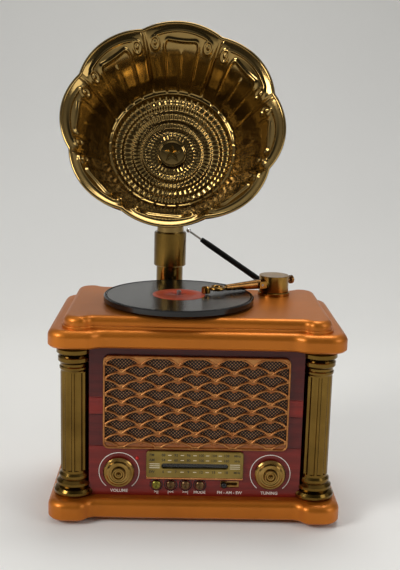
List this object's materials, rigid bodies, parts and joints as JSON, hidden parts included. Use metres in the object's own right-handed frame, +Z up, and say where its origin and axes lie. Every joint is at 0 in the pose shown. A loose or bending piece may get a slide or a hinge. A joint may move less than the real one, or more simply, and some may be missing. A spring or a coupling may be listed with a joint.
{
  "type": "table-top gramophone radio",
  "caption": "Table-top gramophone with a petalled horn, spinning disc, tonearm, corner columns, fan-pattern speaker grille, radio dial, knobs, buttons and telescopic aerial.",
  "frame": {"origin": "middle of the cabinet plan, on the surface that the feet rest on", "axes": "+X right and -Y to the front as the listener sees it, +Z up"},
  "size_m": [0.241, 0.1713, 0.4097],
  "materials": {
    "base_slab": "metallic copper lacquer, satin",
    "top_slab_lower": "metallic copper lacquer, satin",
    "top_slab_upper": "metallic copper lacquer, satin",
    "rubber_feet": "matt",
    "side_panel_left": "glossy reddish mahogany veneer",
    "side_panel_right": "glossy reddish mahogany veneer",
    "front_panel": "glossy reddish mahogany veneer",
    "back_panel": "stained board, matt",
    "column_front_left": "antique gold plating",
    "column_front_right": "antique gold plating",
    "column_back_left": "antique gold plating",
    "column_back_right": "antique gold plating",
    "grille": "copper gold plating",
    "grille_mesh": "black speaker cloth",
    "speaker_frame_left": "matt black",
    "speaker_frame_right": "matt black",
    "speaker_cone_left": "pressed pulp",
    "speaker_cone_right": "pressed pulp",
    "speaker_screws": "plain steel",
    "case_screws": "plain steel",
    "dial_plate": "olive gold print on a pressed plate",
    "dial_window": "clear",
    "dial_pointer": "red",
    "pointer_rail": "plain steel",
    "volume_knob": "antique gold plating",
    "tuning_knob": "antique gold plating",
    "volume_control": "matt black",
    "tuning_control": "matt black",
    "play_button": "antique gold plating",
    "previous_button": "antique gold plating",
    "next_button": "antique gold plating",
    "mode_button": "antique gold plating",
    "button_contacts": "matt black",
    "band_switch_body": "brass coloured",
    "band_switch_knob": "black, glossy",
    "power_lamp": "translucent red",
    "control_board": "circuit board",
    "power_socket": "matt black",
    "platter_motor": "zinc plated steel",
    "platter_shaft": "plain steel",
    "platter": "matt black with a bright rim",
    "record": "grooved, glossy black",
    "tonearm_base": "gold plating",
    "tonearm_turret": "gold plating",
    "tonearm_nut": "plain steel",
    "tonearm_pin": "plain steel",
    "counterweight": "bronze plating",
    "tonearm_tube": "bronze plating",
    "headshell": "gold plating",
    "horn_bracket": "antique gold plating",
    "horn_post": "antique gold plating, polished",
    "horn_collar": "antique gold plating, polished",
    "horn_elbow": "antique gold plating, polished",
    "horn_bell": "antique gold plating, polished",
    "horn_boss": "antique gold plating, polished",
    "aerial_base": "polished",
    "aerial_knuckle": "polished",
    "aerial_tube": "black anodised",
    "aerial_section": "polished",
    "aerial_rod": "polished"
  },
  "bodies": {
    "cabinet": {"base_slab": "base_slab", "top_slab_lower": "top_slab_lower", "top_slab_upper": "top_slab_upper", "rubber_feet": "rubber_feet", "side_panel_left": "side_panel_left", "side_panel_right": "side_panel_right", "front_panel": "front_panel", "back_panel": "back_panel", "column_front_left": "column_front_left", "column_front_right": "column_front_right", "column_back_left": "column_back_left", "column_back_right": "column_back_right", "grille": "grille", "grille_mesh": "grille_mesh", "speaker_frame_left": "speaker_frame_left", "speaker_frame_right": "speaker_frame_right", "speaker_cone_left": "speaker_cone_left", "speaker_cone_right": "speaker_cone_right", "speaker_screws": "speaker_screws", "case_screws": "case_screws", "dial_plate": "dial_plate", "dial_window": "dial_window", "pointer_rail": "pointer_rail", "volume_control": "volume_control", "tuning_control": "tuning_control", "button_contacts": "button_contacts", "band_switch_body": "band_switch_body", "power_lamp": "power_lamp", "control_board": "control_board", "power_socket": "power_socket", "platter_motor": "platter_motor", "tonearm_base": "tonearm_base", "horn_bracket": "horn_bracket", "horn_post": "horn_post", "horn_collar": "horn_collar", "aerial_base": "aerial_base"},
    "turntable": {"platter": "platter", "record": "record", "platter_shaft": "platter_shaft"},
    "arm_turret": {"tonearm_turret": "tonearm_turret", "tonearm_nut": "tonearm_nut", "tonearm_pin": "tonearm_pin", "counterweight": "counterweight"},
    "arm": {"tonearm_tube": "tonearm_tube", "headshell": "headshell"},
    "horn": {"horn_elbow": "horn_elbow", "horn_bell": "horn_bell", "horn_boss": "horn_boss"},
    "volume": {"volume_knob": "volume_knob"},
    "tuning": {"tuning_knob": "tuning_knob"},
    "pointer": {"dial_pointer": "dial_pointer"},
    "play": {"play_button": "play_button"},
    "previous": {"previous_button": "previous_button"},
    "next": {"next_button": "next_button"},
    "mode": {"mode_button": "mode_button"},
    "band_knob": {"band_switch_knob": "band_switch_knob"},
    "aerial_swivel_body": {"aerial_knuckle": "aerial_knuckle"},
    "aerial_lower": {"aerial_tube": "aerial_tube"},
    "aerial_middle": {"aerial_section": "aerial_section"},
    "aerial_upper": {"aerial_rod": "aerial_rod"}
  },
  "joints": [
    {"name": "turntable_spin", "type": "hinge", "parent": "cabinet", "child": "turntable", "pos_m": [-0.0161, -0.0009, 0.1739], "axis": [0, 0, 1], "continuous": true},
    {"name": "arm_swing", "type": "hinge", "parent": "cabinet", "child": "arm_turret", "pos_m": [0.0687, 0.0376, 0.1739], "axis": [0, 0, 1], "range_deg": [0, 50]},
    {"name": "arm_lift", "type": "hinge", "parent": "arm_turret", "child": "arm", "pos_m": [0.05458, 0.02945, 0.1846], "axis": [-0.5, 0.866, 0], "range_deg": [0, 12]},
    {"name": "horn_turn", "type": "hinge", "parent": "cabinet", "child": "horn", "pos_m": [-0.0254, 0.08, 0.204], "axis": [0, 0, -1], "range_deg": [-90, 90]},
    {"name": "volume_turn", "type": "hinge", "parent": "cabinet", "child": "volume", "pos_m": [-0.0627, -0.053, 0.0404], "axis": [0, 1, 0], "range_deg": [0, 270]},
    {"name": "tuning_turn", "type": "hinge", "parent": "cabinet", "child": "tuning", "pos_m": [0.0627, -0.053, 0.0404], "axis": [0, 1, 0], "range_deg": [0, 270]},
    {"name": "pointer_travel", "type": "slide", "parent": "cabinet", "child": "pointer", "axis": [1, 0, 0], "range_m": [0, 0.0501]},
    {"name": "play_press", "type": "slide", "parent": "cabinet", "child": "play", "axis": [0, 1, 0], "range_m": [0, 0.0012], "stiffness_N_per_m": 300},
    {"name": "previous_press", "type": "slide", "parent": "cabinet", "child": "previous", "axis": [0, 1, 0], "range_m": [0, 0.0012], "stiffness_N_per_m": 300},
    {"name": "next_press", "type": "slide", "parent": "cabinet", "child": "next", "axis": [0, 1, 0], "range_m": [0, 0.0012], "stiffness_N_per_m": 300},
    {"name": "mode_press", "type": "slide", "parent": "cabinet", "child": "mode", "axis": [0, 1, 0], "range_m": [0, 0.0012], "stiffness_N_per_m": 300},
    {"name": "band_slide", "type": "slide", "parent": "cabinet", "child": "band_knob", "axis": [1, 0, 0], "range_m": [0, 0.0096]},
    {"name": "aerial_swivel", "type": "hinge", "parent": "cabinet", "child": "aerial_swivel_body", "pos_m": [0.092, 0.084, 0.1559], "axis": [0, 1, 0], "range_deg": [0, 145]},
    {"name": "aerial_tilt", "type": "hinge", "parent": "aerial_swivel_body", "child": "aerial_lower", "pos_m": [0.092, 0.084, 0.1559], "axis": [-0.5461, 0, -0.8377], "range_deg": [0, 75]},
    {"name": "aerial_middle_slide", "type": "slide", "parent": "aerial_lower", "child": "aerial_middle", "axis": [-0.8328, 0.108, 0.5429], "range_m": [0, 0.075]},
    {"name": "aerial_upper_slide", "type": "slide", "parent": "aerial_middle", "child": "aerial_upper", "axis": [-0.8328, 0.108, 0.5429], "range_m": [0, 0.075]}
  ],
  "couplings": [
    {"joint": "pointer_travel", "follows": "tuning_turn", "m_per_rad": 0.01061},
    {"joint": "aerial_upper_slide", "follows": "aerial_middle_slide", "ratio": 1}
  ]
}
